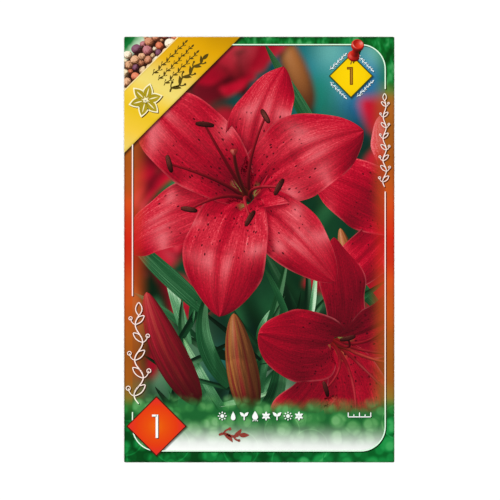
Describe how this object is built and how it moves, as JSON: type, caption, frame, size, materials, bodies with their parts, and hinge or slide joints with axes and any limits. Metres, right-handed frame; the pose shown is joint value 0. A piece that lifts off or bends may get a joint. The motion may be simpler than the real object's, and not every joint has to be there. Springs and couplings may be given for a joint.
{
  "type": "printed picture card of a flower bulb pack",
  "caption": "Thin flat rectangular card, taller than wide, of coated board with a flower picture printed on its face. It lies flat on its back.",
  "frame": {"origin": "middle of the card's back face, on the surface it lies on", "axes": "+X across the card to the viewer's right, +Y to the card's top edge, +Z out of the printed face"},
  "size_m": [0.127, 0.2, 0.0005],
  "materials": {
    "printed_board": "offset print under gloss varnish"
  },
  "bodies": {
    "root": {"picture_card": "printed_board"}
  },
  "joints": []
}
